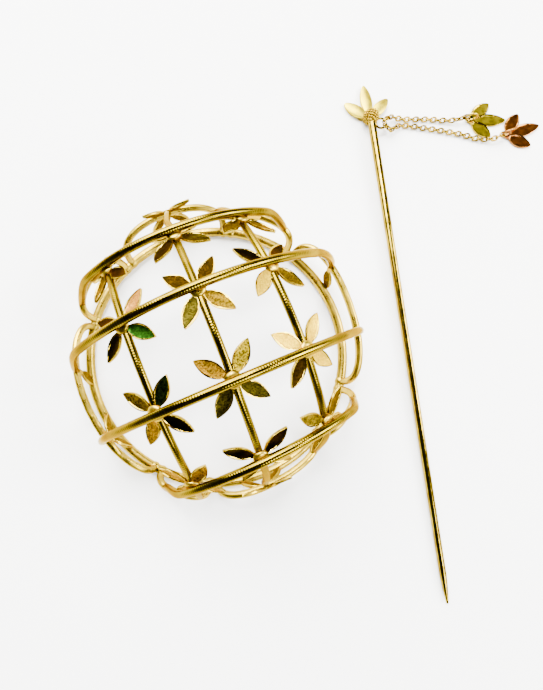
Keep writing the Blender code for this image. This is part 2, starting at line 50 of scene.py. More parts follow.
UP = Vector((0.0, 0.0, 1.0))

# Base ring and scallop arches
RING_RADIUS = 40.0 * MM
RING_WIRE = 2.8 * MM
RING_STEPS = 144
RING_SIDES = 20
# height below which a point of the rim counts as its underside
UNDERSIDE_HEIGHT = 0.05 * MM
ARCH_WIRE = 2.2 * MM
ARCH_RISE = 8.2 * MM
ARCH_LEAN = 3.8 * MM
ARCH_SQUARENESS = 3.0
ARCH_FOOT_GAP = 0.4 * MM
ARCH_STEPS = 40
FOOT_SOLDER_RADIUS = 1.7 * MM
FOOT_SOLDER_HEIGHT = 1.45 * MM
FOOT_SOLDER_LIFT = 0.2 * MM
# name, first foot and last foot in degrees round the ring, and the lean at the first shoulder, the middle
# and the last shoulder, as shares of the general lean
ARCHES = (
    ("right", -37.0, 31.5, (1.2, 0.7, 1.7)),
    ("upper_right", 31.5, 62.5, (0.95, 1.0, 1.0)),
    ("top", 62.5, 112.0, (1.5, 1.4, 1.45)),
    ("upper_left", 112.0, 143.5, (1.1, 1.1, 1.05)),
    ("left", 143.5, 221.0, (1.0, 0.4, 0.6)),
    ("lower_left", 221.0, 246.5, (0.65, 0.75, 0.85)),
    ("bottom", 246.5, 297.0, (1.0, 0.5, 0.6)),
    ("lower_right", 297.0, 323.0, (0.3, 0.7, 1.1)),
)

# Dome, and the wires over it
DOME_HEIGHT = 46.0 * MM
DOME_SWELL = 0.6 * MM
DOME_ROUNDNESS = 1.85
GAP = 0.3 * MM
LONG_WIRE = 2.3 * MM
CROSS_WIRE = 2.0 * MM
WIRE_STEPS = 72
WIRE_SIDES = 18
# turns in degrees of the hoops that round a wire's end, and the end's length as a share of the radius
WIRE_END_TURNS = (75.0, 50.0, 25.0)
WIRE_END_SHARE = 0.6
CROSSING_SOLDER_RADIUS = 2.1 * MM
CROSSING_SOLDER_HEIGHT = 0.85 * MM
CROSSING_SOLDER_DROP = 0.2 * MM
# share of the way to the rim from which a wire bends towards the crown that it ends on
LONG_BEND = 0.76
CROSS_BEND = 0.84
# name, distance from the middle, turn in degrees
LONG_WIRES = (
    ("long_1", 28.4 * MM, -1.6),
    ("long_2", 11.0 * MM, 0.0),
    ("long_3", -11.0 * MM, 0.3),
    ("long_4", -30.4 * MM, 3.0),
)
CROSS_WIRES = (
    ("cross_1", -19.6 * MM, -0.4),
    ("cross_2", -0.3 * MM, -1.2),
    ("cross_3", 18.4 * MM, -0.3),
)

# Leaves of the cage
LEAF_REACH = 9.8 * MM
LEAF_WIDTH = 3.8 * MM
LEAF_STEM = 2.6 * MM
LEAF_STEM_WIDTH = 1.3 * MM
LEAF_SHEET = 0.62 * MM
# thickness of the same sheet in the solids, which sets how high the leaves lie
SOLID_SHEET = 0.7 * MM
LEAF_DISH = 0.16 * MM
LEAF_BORDER = 0.16 * MM
LEAF_BEVEL = 0.08 * MM
LEAF_LENGTH_CELLS = 26
LEAF_BLUNTNESS = 0.82
# above 1, the cells crowd towards the tip; below 1, the blade is fullest before its middle
TIP_CROWDING = 1.15
BLADE_FULLNESS = 0.92
# distances from the base at which the blade and its sandblasted face start
BLADE_START = 0.55 * LEAF_STEM
FACE_START = 0.8 * LEAF_STEM
# shares of the blade at which the neck has gone, and over which it goes
NECK_END = 0.5
NECK_FADE = 0.3
# how many times the neck's width the blade has where its face is sunk
FACE_PAST_NECK = 1.2
# share of a cell's farthest corner past which a corner is on its outer side
OUTER_SHARE = 0.9
LEAF_MERGE = 0.004 * MM
LEAF_EDGE_ANGLE = math.radians(55)
CREASE_ANGLE = math.radians(50)
# shares of the half width where the leaf's rows lie, from the middle to the edge
LEAF_ROWS = (0.0, 0.3, 0.6, 0.77, 0.83, 1.0)
FACE_ROWS = 4

# direction in degrees from the long wire, droop in degrees
SPRIG_LEAVES = (
    (36.0, 7.0),
    (139.0, 8.6),
    (227.0, 6.2),
    (316.0, 7.8),
)
# how far each of the four is turned by hand where it was soldered on, in degrees
SPRIG_TURNS = {
    ("long_1", "cross_1"): (0.0, 0.0, 2.0, -15.0),
    ("long_1", "cross_2"): (0.0, 0.0, -2.0, 8.0),
    ("long_1", "cross_3"): (0.0, 0.0, 0.0, 16.0),
    ("long_2", "cross_1"): (2.0, 3.0, -13.0, -2.0),
    ("long_2", "cross_2"): (13.0, -8.0, 4.0, -6.0),
    ("long_2", "cross_3"): (6.0, -5.0, 2.0, 3.0),
    ("long_3", "cross_1"): (17.0, 0.0, 5.0, -3.0),
    ("long_3", "cross_2"): (12.0, -6.0, 0.0, -4.0),
    ("long_3", "cross_3"): (4.0, -4.0, -4.0, -3.0),
    ("long_4", "cross_1"): (17.0, 0.0, 0.0, 0.0),
    ("long_4", "cross_2"): (-7.0, 5.0, 0.0, 0.0),
    ("long_4", "cross_3"): (0.0, -7.0, 0.0, 0.0),
}
# tone of each of the four leaves above, by crossing. The tones are mostly painted reflection: a dark leaf
# holds the dark room above, a green one its green surroundings and a pale one the bright lights; only a
# little of the spread is the plating's own tone
SPRIG_REFLECTION_TONES = {
    ("long_1", "cross_1"): ("pale", "amber", "amber", "brown"),
    ("long_1", "cross_2"): ("pale", "orange", "umber", "moss"),
    ("long_1", "cross_3"): ("pale", "pale", "amber", "amber"),
    ("long_2", "cross_1"): ("rose", "umber", "dark", "green"),
    ("long_2", "cross_2"): ("umber", "umber", "moss", "amber"),
    ("long_2", "cross_3"): ("dark", "dark", "pale", "bronze"),
    ("long_3", "cross_1"): ("deep_green", "bronze", "orange", "dark"),
    ("long_3", "cross_2"): ("yellow", "orange", "moss", "moss"),
    ("long_3", "cross_3"): ("pale", "pale", "umber", "pale"),
    ("long_4", "cross_1"): ("orange", "orange", "orange", "orange"),
    ("long_4", "cross_2"): ("dark", "dark", "amber", "pale"),
    ("long_4", "cross_3"): ("amber", "yellow", "amber", "amber"),
}
# the same at the rim, where 0 runs round the rim and 90 up the dome
RIM_LEAVES = (
    (41.0, 1.0),
    (138.0, 2.2),
    (222.0, 24.0),
    (317.0, 26.0),
)
RIM_SPRIGS = (
    ("cross_2", 1, RIM_LEAVES),
    ("cross_2", -1, RIM_LEAVES),
    ("long_3", -1, RIM_LEAVES),
    ("long_2", -1, ((300.0, 24.0),)),
    ("long_2", 1, ((240.0, 24.0),)),
)

# Hair stick
STICK_LENGTH = 156.0 * MM
STICK_HEAD_WIRE = 2.5 * MM
STICK_MIDDLE_WIRE = 2.3 * MM
STICK_SHOULDER_WIRE = 2.0 * MM
STICK_POINT_WIRE = 1.45 * MM
STICK_TIP_WIRE = 0.7 * MM
STICK_POINT = 8.0 * MM
STICK_SIDES = 32
# the tip's flat end: its distance from the end and its width, as shares of the tip's radius and width
TIP_END = 0.3
TIP_FLAT = 0.7
KNOT_RADIUS = 2.7 * MM
KNOT_GRAIN = 0.44 * MM
KNOT_GRAINS = 96
KNOT_CORE = KNOT_RADIUS - 1.1 * KNOT_GRAIN
HEAD_PLACE = Vector((78.0 * MM, 53.5 * MM))
STICK_TURN = -105.9
FAN_SPREAD = 47.0
FAN_MIDDLE_REACH = 12.8 * MM
FAN_SIDE_REACH = 10.1 * MM
FAN_SHEET_HEIGHT = 1.6 * MM
FAN_DROOP = 5.0
FAN_CROWN = 0.45 * MM
FAN_BLUNTNESS = 0.6
# turn from the stick's line in degrees, reach
FAN_LEAVES = (
    (-FAN_SPREAD, FAN_SIDE_REACH),
    (0.0, FAN_MIDDLE_REACH),
    (FAN_SPREAD, FAN_SIDE_REACH),
)

# Charms
CHARM_SPREAD = 40.0
CHARM_MIDDLE_REACH = 12.4 * MM
CHARM_SIDE_REACH = 9.2 * MM
CHARM_LEAF_WIDTH = 4.3 * MM
CHARM_BORDER = 0.14 * MM
CHARM_BLUNTNESS = 0.68

# Chains and the loops that their end links pass through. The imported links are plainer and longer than
# the real ones, so the fine links are spread over the same route and hook into the same loops
LINK_LENGTH = 3.0 * MM
LINK_WIDTH = 2.1 * MM
LINK_WIRE = 0.5 * MM
LINK_BITE = 0.16 * MM
FINE_LINK_LENGTH = 2.5 * MM
FINE_LINK_WIDTH = 1.9 * MM
FINE_LINK_WIRE = 0.56 * MM
FINE_LINK_PITCH = 1.5 * MM
LINK_STEPS = 24
LINK_SIDES = 8
# below 1, a link's ends are squarer than an ellipse's
LINK_ROUNDNESS = 0.8
# links lean this far from flat, in degrees, by turns to one side and to the other
LINK_LEAN = 45.0
# how many links at each end turn from that lean, and how many rise to the loops, along this power
TWIST_LINKS = 3
RISE_LINKS = 4
RISE_POWER = 1.5
SHORT_CHAIN_LINKS = 14
LONG_CHAIN_LINKS = 20
LOOP_WIRE = 0.7 * MM
LOOP_RADIUS = 1.7 * MM
LOOP_BITE = 0.4 * MM
LOOP_STEPS = 32
LOOP_SIDES = 10
# the solids' loops have six-sided wire, and a charm's loop stands on a corner of it
SOLID_LOOP_SIDES = 6
HOOP_MERGE = 0.001 * MM
LINK_CLEARANCE = 0.35 * MM
HEAD_LOOP_TURN = -58.0
SHORT_CHAIN_TURN = 18.0
LONG_CHAIN_TURN = -52.0
SHORT_CHARM_TURN = -23.0
LONG_CHARM_TURN = -5.0
# routes of the two chains over the surface, as chosen points in millimetres
SHORT_CHAIN_ROUTE = ((87.8, 49.8), (97.1, 45.9), (104.6, 42.1), (112.0, 41.2))
LONG_CHAIN_ROUTE = ((86.9, 47.7), (95.7, 42.8), (104.3, 37.2), (110.0, 32.8), (115.4, 31.0), (121.0, 34.4))
# steps between two chosen points, and halvings that find a link's place between two steps
ROUTE_STEPS = 24
HALVINGS = 30

# Camera: it looks down on the cage from a little to its lower side
CAMERA_DISTANCE = 140.0 * MM
CAMERA_TILT = 5.955
CAMERA_TURN = -22.534
FOCAL_PIXELS = 436.2
AXIS_PIXEL = (216.4, 354.0)
IMAGE_SIZE = (543, 690)
SENSOR = 36.0
CAMERA_NEAR = 5 * MM

# Studio: each light's name, its place to the right, up and above in metres, its side and its watts
LIGHTS = (
    ("window", -0.35, 0.75, 0.75, 1.1, 120.0),
    ("fill", 0.85, 0.15, 0.6, 0.5, 36.0),
    ("lamp", -0.12, 0.42, 0.9, 0.14, 9.0),
    ("side", 0.62, -0.62, 0.85, 0.5, 22.0),
)
AIM_HEIGHT = 20 * MM
TABLE_HALF = 1.5
PAPER_ROUGHNESS = 0.9
# the room's pale lower part and dark upper part: where each begins on the way up, and its light
ROOM_TONES = (
    (0.1, (0.5, 0.48, 0.45, 1.0)),
    (0.45, (0.02, 0.018, 0.015, 1.0)),
)

# Marks in the finishes: how far apart they are or how many lie along a millimetre, and how deep they are.
# The real milling and grit are finer, and are drawn as coarse as they need to show
MILLING_PITCH_MM = 0.65
MILLING_DEPTH = 0.018 * MM
DENTS_PER_MM = 0.9
DENT_DEPTH = 0.12 * MM
RIPPLES_PER_MM = 0.8
RIPPLE_DEPTH = 0.06 * MM
BRUSH_LINES_PER_MM = 5.0
BRUSH_BREAKS_PER_MM = 0.5
BRUSH_DEPTH = 0.08 * MM
GRIT_PER_MM = 2.6
GRIT_DEPTH = 0.1 * MM
# share of the grit's strength by which its painted glitter darkens the colour: painted shade among the
# painted glints
GRIT_SHADE = 0.75
# values of the noise that count as lowest and highest: for grit, for wipe marks and for drifts of tone
GRIT_LOW = 0.4
GRIT_HIGH = 0.6
WIPE_LOW = 0.3
WIPE_HIGH = 0.7
TONE_LOW = 0.36
TONE_HIGH = 0.62

RING_HEIGHT = RING_WIRE / 2
RIM_RADIUS = RING_RADIUS + ARCH_LEAN
RIM_HEIGHT = RING_HEIGHT + ARCH_RISE
DOME_RADIUS = RIM_RADIUS + DOME_SWELL
SLOPE_STEP = DOME_RADIUS / 100
LEAF_LIFT = (SOLID_SHEET + GAP) / 2
LINK_PITCH = LINK_LENGTH - 2 * LINK_WIRE + LINK_BITE
LINK_END = (LINK_LENGTH - LINK_WIRE) / 2
FINE_LINK_END = (FINE_LINK_LENGTH - FINE_LINK_WIRE) / 2
LINK_TO_LOOP = (LINK_WIRE + LOOP_WIRE) / 2 + LINK_CLEARANCE


def ring_centre():
    """Middle of the base ring in plan, from the rim's flat underside, which runs all round."""
    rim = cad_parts["base_rim"].data
    under = [vert.co for vert in rim.vertices if vert.co.z < UNDERSIDE_HEIGHT]
    low = [min(spot[axis] for spot in under) for axis in (0, 1)]
    high = [max(spot[axis] for spot in under) for axis in (0, 1)]
    return Vector(((low[0] + high[0]) / 2, (low[1] + high[1]) / 2, 0.0))


CENTRE = ring_centre()


# Finishes


def linear(code):
    """An sRGB hex colour as linear values, with an alpha of one."""
    values = [int(code[spot:spot + 2], 16) / 255 for spot in (0, 2, 4)]
    return [v / 12.92 if v <= 0.04045 else ((v + 0.055) / 1.055) ** 2.4 for v in values] + [1.0]


def add(tree, kind, settings=None, **links):
    """A node with its settings; each link names an input and gives a node's output or a value."""
    node = tree.nodes.new(kind)
    for name, value in (settings or {}).items():
        setattr(node, name, value)
    for name, value in links.items():
        key = int(name[1:]) if name[0] == "_" and name[1:].isdigit() else name.replace("_", " ")
        if isinstance(value, bpy.types.NodeSocket):
            tree.links.new(value, node.inputs[key])
        else:
            node.inputs[key].default_value = value
    return node


def new_finish(name, roughness):
    """A metal's material with its shader, and the object's own coordinates in millimetres."""
    material = bpy.data.materials.new(name)
    material.use_nodes = True
    tree = material.node_tree
    shader = tree.nodes["Principled BSDF"]
    shader.inputs["Metallic"].default_value = 1.0
    shader.inputs["Roughness"].default_value = roughness
    # gold plate stays yellow where it is seen edge-on
    shader.inputs["Specular Tint"].default_value = linear("E8C858")
    place = add(tree, "ShaderNodeTexCoord").outputs["Object"]
    in_mm = add(tree, "ShaderNodeMapping", Vector=place, Scale=(1 / MM, 1 / MM, 1 / MM)).outputs["Vector"]
    return material, tree, shader, in_mm


def shaded(tree, shader, in_mm, light, deep, patch_mm):
    """Slow drift of colour over the plating between two tones."""
    cloud = add(tree, "ShaderNodeTexNoise", Vector=in_mm, Scale=1 / patch_mm, Detail=3.0, Roughness=0.55)
    ramp = add(tree, "ShaderNodeValToRGB", Fac=cloud.outputs["Fac"])
    for stop, position, colour in zip(ramp.color_ramp.elements, (TONE_LOW, TONE_HIGH), (deep, light)):
        stop.position = position
        stop.color = linear(colour)
    tree.links.new(ramp.outputs["Color"], shader.inputs["Base Color"])


def varied_roughness(tree, shader, in_mm, low, high, patch_mm):
    """Wipe marks: the polish is duller in patches."""
    smear = add(tree, "ShaderNodeTexNoise", Vector=in_mm, Scale=1 / patch_mm, Detail=2.0)
    spread = add(tree, "ShaderNodeMapRange", Value=smear.outputs["Fac"],
                 From_Min=WIPE_LOW, From_Max=WIPE_HIGH, To_Min=low, To_Max=high)
    tree.links.new(spread.outputs["Result"], shader.inputs["Roughness"])


def polished_wire():
    """Polished gold plate on drawn brass wire: sharp bands of reflection, broken by fine milling."""
    material, tree, shader, in_mm = new_finish("polished_gold_wire", roughness=0.14)
    shaded(tree, shader, in_mm, "7A660A", "4E4006", patch_mm=9.0)
    varied_roughness(tree, shader, in_mm, low=0.10, high=0.2, patch_mm=3.0)
    along = add(tree, "ShaderNodeAttribute", {"attribute_name": "along_mm"}).outputs["Fac"]
    per_mm = 2 * math.pi / MILLING_PITCH_MM
    turn = add(tree, "ShaderNodeMath", {"operation": "MULTIPLY"}, _0=along, _1=per_mm).outputs["Value"]
    wave = add(tree, "ShaderNodeMath", {"operation": "SINE"}, _0=turn).outputs["Value"]
    bump = add(tree, "ShaderNodeBump", Height=wave, Distance=MILLING_DEPTH, Strength=0.6)
    tree.links.new(bump.outputs["Normal"], shader.inputs["Normal"])
    return material


def satin_rim():
    """Gold plate on a cast and tumbled rim: softer than the wires, with broad pale glints."""
    material, tree, shader, in_mm = new_finish("tumbled_gold_rim", roughness=0.3)
    shaded(tree, shader, in_mm, "BEA02A", "846E16", patch_mm=7.0)
    varied_roughness(tree, shader, in_mm, low=0.24, high=0.36, patch_mm=2.5)
    dents = add(tree, "ShaderNodeTexNoise", Vector=in_mm, Scale=DENTS_PER_MM, Detail=2.0)
    bump = add(tree, "ShaderNodeBump", Height=dents.outputs["Fac"], Distance=DENT_DEPTH, Strength=0.35)
    tree.links.new(bump.outputs["Normal"], shader.inputs["Normal"])
    return material


def sandblasted(name, light, deep, roughness, grain):
    """Sandblasted and plated leaf face: a glitter of tiny facets, drawn by a bump and by painted glints
    and painted shade that the grit puts into the colour. Real grit is finer than drawn here, at 0.4 mm, so
    that it still shows."""
    material, tree, shader, in_mm = new_finish(name, roughness)
    shaded(tree, shader, in_mm, light, deep, patch_mm=1.6)
    grit = add(tree, "ShaderNodeTexNoise", Vector=in_mm, Scale=GRIT_PER_MM, Detail=2.0, Roughness=0.6)
    # painted glints and painted shade: the grit lightens and darkens the base colour, for the sparkle of
    # facets
    glint = add(tree, "ShaderNodeMapRange", Value=grit.outputs["Fac"],
                From_Min=GRIT_LOW, From_Max=GRIT_HIGH, To_Min=1 - GRIT_SHADE * grain, To_Max=1 + grain)
    plain = shader.inputs["Base Color"].links[0].from_socket
    painted_glitter = add(tree, "ShaderNodeHueSaturation", Color=plain, Value=glint.outputs["Result"])
    tree.links.new(painted_glitter.outputs["Color"], shader.inputs["Base Color"])
    bump = add(tree, "ShaderNodeBump", Height=grit.outputs["Fac"], Distance=GRIT_DEPTH, Strength=grain)
    tree.links.new(bump.outputs["Normal"], shader.inputs["Normal"])
    return material


def polished_edge():
    """The leaf's cut edge, polished: a thin bright line."""
    material, tree, shader, in_mm = new_finish("polished_gold_edge", roughness=0.12)
    shaded(tree, shader, in_mm, "BEA436", "8A741C", patch_mm=5.0)
    varied_roughness(tree, shader, in_mm, low=0.08, high=0.18, patch_mm=1.5)
    return material


def glossy_plate(name, light, deep, low, high):
    """Gold plate over a smooth pressed shape, with faint wipe marks."""
    material, tree, shader, in_mm = new_finish(name, low)
    shaded(tree, shader, in_mm, light, deep, patch_mm=4.0)
    varied_roughness(tree, shader, in_mm, low, high, patch_mm=2.0)
    ripple = add(tree, "ShaderNodeTexNoise", Vector=in_mm, Scale=RIPPLES_PER_MM, Detail=1.0)
    bump = add(tree, "ShaderNodeBump", Height=ripple.outputs["Fac"], Distance=RIPPLE_DEPTH, Strength=0.3)
    tree.links.new(bump.outputs["Normal"], shader.inputs["Normal"])
    return material


def brushed_leaf(name, light, deep, roughness):
    """Charm leaf brushed lengthwise before plating: fine lines across which the light breaks."""
    material, tree, shader, in_mm = new_finish(name, roughness)
    shaded(tree, shader, in_mm, light, deep, patch_mm=1.8)
    lines = add(tree, "ShaderNodeAttribute", {"attribute_name": "across_mm"}).outputs["Fac"]
    length = add(tree, "ShaderNodeAttribute", {"attribute_name": "along_mm"}).outputs["Fac"]
    grain_place = add(tree, "ShaderNodeCombineXYZ", X=lines, Y=length)
    stretched = add(tree, "ShaderNodeMapping", Vector=grain_place.outputs["Vector"],
                    Scale=(BRUSH_LINES_PER_MM, BRUSH_BREAKS_PER_MM, 1.0))
    grain = add(tree, "ShaderNodeTexNoise", Vector=stretched.outputs["Vector"], Scale=1.0, Detail=3.0)
    bump = add(tree, "ShaderNodeBump", Height=grain.outputs["Fac"], Distance=BRUSH_DEPTH, Strength=0.6)
    tree.links.new(bump.outputs["Normal"], shader.inputs["Normal"])
    return material


WIRE_GOLD = polished_wire()
RIM_GOLD = satin_rim()
EDGE_GOLD = polished_edge()
# leaf faces by tone: light and deep colour, roughness and strength of the grit. The tones are painted
# reflection, the dark ones of the dark room, the green ones of green surroundings, the pale ones of bright
# lights
LEAF_FACES = {
    "pale": sandblasted("leaf_pale_gold", "BE9E0C", "AA8808", roughness=0.55, grain=0.3),
    "yellow": sandblasted("leaf_yellow_gold", "806C06", "544600", roughness=0.5, grain=1.0),
    "amber": sandblasted("leaf_amber_gold", "523E02", "362A00", roughness=0.48, grain=0.9),
    "orange": sandblasted("leaf_orange_gold", "946C06", "624804", roughness=0.48, grain=0.9),
    "rose": sandblasted("leaf_rose_gold", "AC762E", "84561E", roughness=0.5, grain=0.4),
    "bronze": sandblasted("leaf_bronze_gold", "5E4A08", "342802", roughness=0.42, grain=1.0),
    "brown": sandblasted("leaf_brown_gold", "341E02", "1C1000", roughness=0.38, grain=0.9),
    "umber": sandblasted("leaf_umber_gold", "1C1101", "0D0700", roughness=0.38, grain=0.9),
    "moss": sandblasted("leaf_moss_gold", "292304", "181402", roughness=0.38, grain=0.9),
    "dark": sandblasted("leaf_dark_reflection_gold", "241A08", "120C04", roughness=0.22, grain=0.25),
    "green": sandblasted("leaf_green_reflection_gold", "2C5C14", "163008", roughness=0.3, grain=0.5),
    "deep_green": sandblasted("leaf_deep_green_reflection_gold", "2A3A14", "142008", roughness=0.3, grain=0.5),
}
STICK_GOLD = glossy_plate("polished_stick_gold", "9C8422", "685412", low=0.1, high=0.18)
FAN_GOLD = glossy_plate("lemon_gold_leaf", "D8C424", "B8A218", low=0.38, high=0.5)
KNOT_GOLD = glossy_plate("grained_knot_gold", "A88A1A", "6E580E", low=0.18, high=0.3)
CHAIN_GOLD = glossy_plate("chain_gold", "A08420", "6C5612", low=0.16, high=0.26)
YELLOW_FACE = brushed_leaf("yellow_gold_charm", "8E7C00", "605400", roughness=0.3)
COPPER_FACE = brushed_leaf("copper_gold_charm", "4C280A", "2C1402", roughness=0.3)
COPPER_EDGE = glossy_plate("copper_gold_edge", "A87440", "744A20", low=0.14, high=0.24)


# Shapes


def dome_height(radius):
    """Height of the dome at a distance from its middle; it meets the rim at RIM_RADIUS."""
    def fall(distance):
        share = min(distance / DOME_RADIUS, 1.0)
        return 1.0 - (1.0 - share ** DOME_ROUNDNESS) ** (1.0 / DOME_ROUNDNESS)
    drop = DOME_HEIGHT - RIM_HEIGHT
    return DOME_HEIGHT - drop * fall(min(radius, RIM_RADIUS)) / fall(RIM_RADIUS)


def dome_point(x, y):
    return Vector((x, y, dome_height(math.hypot(x, y))))


def dome_normal(x, y):
    """Outward normal of the dome, read over a small step towards the middle."""
    radius = math.hypot(x, y)
    if radius < SLOPE_STEP:
        return UP.copy()
    slope = (dome_height(radius - SLOPE_STEP) - dome_height(radius)) / SLOPE_STEP
    return Vector((x / radius * slope, y / radius * slope, 1.0)).normalized()


def wire_line(kind, offset, turn):
    """A dome wire's middle point and direction in plan."""
    angle = math.radians(turn)
    if kind == "long":
        return Vector((0.0, offset)), Vector((math.cos(angle), math.sin(angle)))
    return Vector((offset, 0.0)), Vector((-math.sin(angle), math.cos(angle)))


LINES = {name: wire_line("long", offset, turn) for name, offset, turn in LONG_WIRES}
LINES.update({name: wire_line("cross", offset, turn) for name, offset, turn in CROSS_WIRES})


def rim_reach(start, along):
    """How far a line runs from its start to the rim, both ways."""
    middle = start.dot(along)
    root = math.sqrt(middle ** 2 - start.length_squared + RIM_RADIUS ** 2)
    return -middle - root, -middle + root


def crossing(first, second):
    """Where two lines, each a start and a direction, meet in plan."""
    start, along = first
    other, across = second
    gap = other - start
    share = (gap.x * across.y - gap.y * across.x) / (along.x * across.y - along.y * across.x)
    return start + along * share


def heading(degrees):
    return Vector((math.cos(math.radians(degrees)), math.sin(math.radians(degrees)), 0.0))


def arch_line(first, last, leans):
    """Middle line of a squarish scallop between two feet on the ring, leaning outwards as it rises."""
    early, middle_lean, late = leans
    foot = math.degrees((ARCH_WIRE + ARCH_FOOT_GAP) / 2 / RING_RADIUS)
    middle = math.radians((first + last) / 2)
    half = math.radians((last - first) / 2 - foot)
    points = []
    for step in range(ARCH_STEPS + 1):
        turn = math.pi * step / ARCH_STEPS
        side = math.copysign(abs(math.cos(turn)) ** (2 / ARCH_SQUARENESS), -math.cos(turn))
        rise = max(math.sin(turn), 0.0) ** (2 / ARCH_SQUARENESS)
        angle = middle + half * side
        lean = middle_lean + (late - early) / 2 * side + ((early + late) / 2 - middle_lean) * side ** 2
        radius = RING_RADIUS + ARCH_LEAN * lean * rise
        height = RING_HEIGHT + ARCH_RISE * rise
        points.append(Vector((radius * math.cos(angle), radius * math.sin(angle), height)))
    return points


ARCH_LINES = [arch_line(first, last, leans) for _, first, last, leans in ARCHES]


def arch_crown(spot):
    """The point of an arch's middle line that lies nearest to a spot on the rim."""
    rim = Vector((*spot, RIM_HEIGHT))
    points = [point for line in ARCH_LINES for point in line]
    return min(points, key=lambda point: (point - rim).length).copy()


def new_shape():
    """An empty shape that carries the distance along and across a piece, for patterns that follow it."""
    shape = bmesh.new()
    shape.verts.layers.float.new("along_mm")
    shape.verts.layers.float.new("across_mm")
    return shape


def ring_edges(ring):
    """Edges of a circle of vertices that is not yet joined to another."""
    return list({edge for vert in ring for edge in vert.link_edges})


def skin(shape, hoops):
    """Walls from each hoop to the next, and a cap on the first and the last."""
    for lower, upper in zip(hoops, hoops[1:]):
        bmesh.ops.bridge_loops(shape, edges=lower + upper)
    for hoop in (hoops[0], hoops[-1]):
        bmesh.ops.contextual_create(shape, geom=hoop)


def sharp_edges(shape, angle):
    """Edges at which two faces meet at more than the angle."""
    return [edge for edge in shape.edges if len(edge.link_faces) == 2 and edge.calc_face_angle() > angle]


def add_wire(shape, points, thickness):
    """A round wire along the points, with rounded ends past the first and the last."""
    along_mm = shape.verts.layers.float["along_mm"]
    radius = thickness / 2
    first = (points[1] - points[0]).normalized()
    last = (points[-1] - points[-2]).normalized()
    bulge = [(math.cos(math.radians(turn)), math.sin(math.radians(turn))) for turn in WIRE_END_TURNS]
    reach = radius * WIRE_END_SHARE
    stations = [(points[0] - first * reach * rise, radius * shrink) for shrink, rise in bulge]
    stations += [(point, radius) for point in points]
    stations += [(points[-1] + last * reach * rise, radius * shrink) for shrink, rise in reversed(bulge)]
    side = first.orthogonal().normalized()
    hoops = []
    distance = 0.0
    for spot, (centre, size) in enumerate(stations):
        before = stations[max(spot - 1, 0)][0]
        after = stations[min(spot + 1, len(stations) - 1)][0]
        along = (after - before).normalized()
        side = (side - along * side.dot(along)).normalized()
        distance += (centre - before).length
        ring = bmesh.ops.create_circle(shape, segments=WIRE_SIDES, radius=size)["verts"]
        turn = Matrix((side, along.cross(side), along)).transposed().to_4x4()
        bmesh.ops.transform(shape, matrix=Matrix.Translation(centre) @ turn, verts=ring)
        for vert in ring:
            vert[along_mm] = distance / MM
        hoops.append(ring_edges(ring))
    skin(shape, hoops)


def add_hoop(shape, centre, axis, radius, thickness, steps, sides):
    """A closed ring of round wire about an axis."""
    part = new_shape()
    ring = bmesh.ops.create_circle(part, segments=sides, radius=thickness / 2)["verts"]
    stand = Matrix.Translation((radius, 0.0, 0.0)) @ Matrix.Rotation(math.pi / 2, 4, "X")
    bmesh.ops.transform(part, matrix=stand, verts=ring)
    bmesh.ops.spin(part, geom=part.verts[:] + part.edges[:], axis=UP, cent=(0.0, 0.0, 0.0),
                   angle=2 * math.pi, steps=steps, use_merge=True)
    bmesh.ops.remove_doubles(part, verts=part.verts, dist=HOOP_MERGE)
    bmesh.ops.recalc_face_normals(part, faces=part.faces)
    turn = UP.rotation_difference(axis).to_matrix().to_4x4()
    bmesh.ops.transform(part, matrix=Matrix.Translation(centre) @ turn, verts=part.verts)
    join(shape, part)


def join(shape, part):
    """Adds a finished part to a shape, and frees it."""
    mesh = bpy.data.meshes.new("part")
    part.to_mesh(mesh)
    part.free()
    shape.from_mesh(mesh)
    bpy.data.meshes.remove(mesh)


def add_solder(shape, place, normal, radius, height):
    """A low bead of solder where pieces meet."""
    bead = bmesh.ops.create_icosphere(shape, subdivisions=3, radius=1.0)["verts"]
    squash = Matrix.Diagonal((radius, radius, height, 1.0))
    turn = UP.rotation_difference(normal).to_matrix().to_4x4()
    bmesh.ops.transform(shape, matrix=Matrix.Translation(place) @ turn @ squash, verts=bead)


def blade_half(share, width, bluntness):
    """Half the blade's width at a share of its length: full near the base, drawn to a point."""
    return width / 2 * max(math.sin(math.pi * min(share, 1.0) ** BLADE_FULLNESS), 0.0) ** bluntness


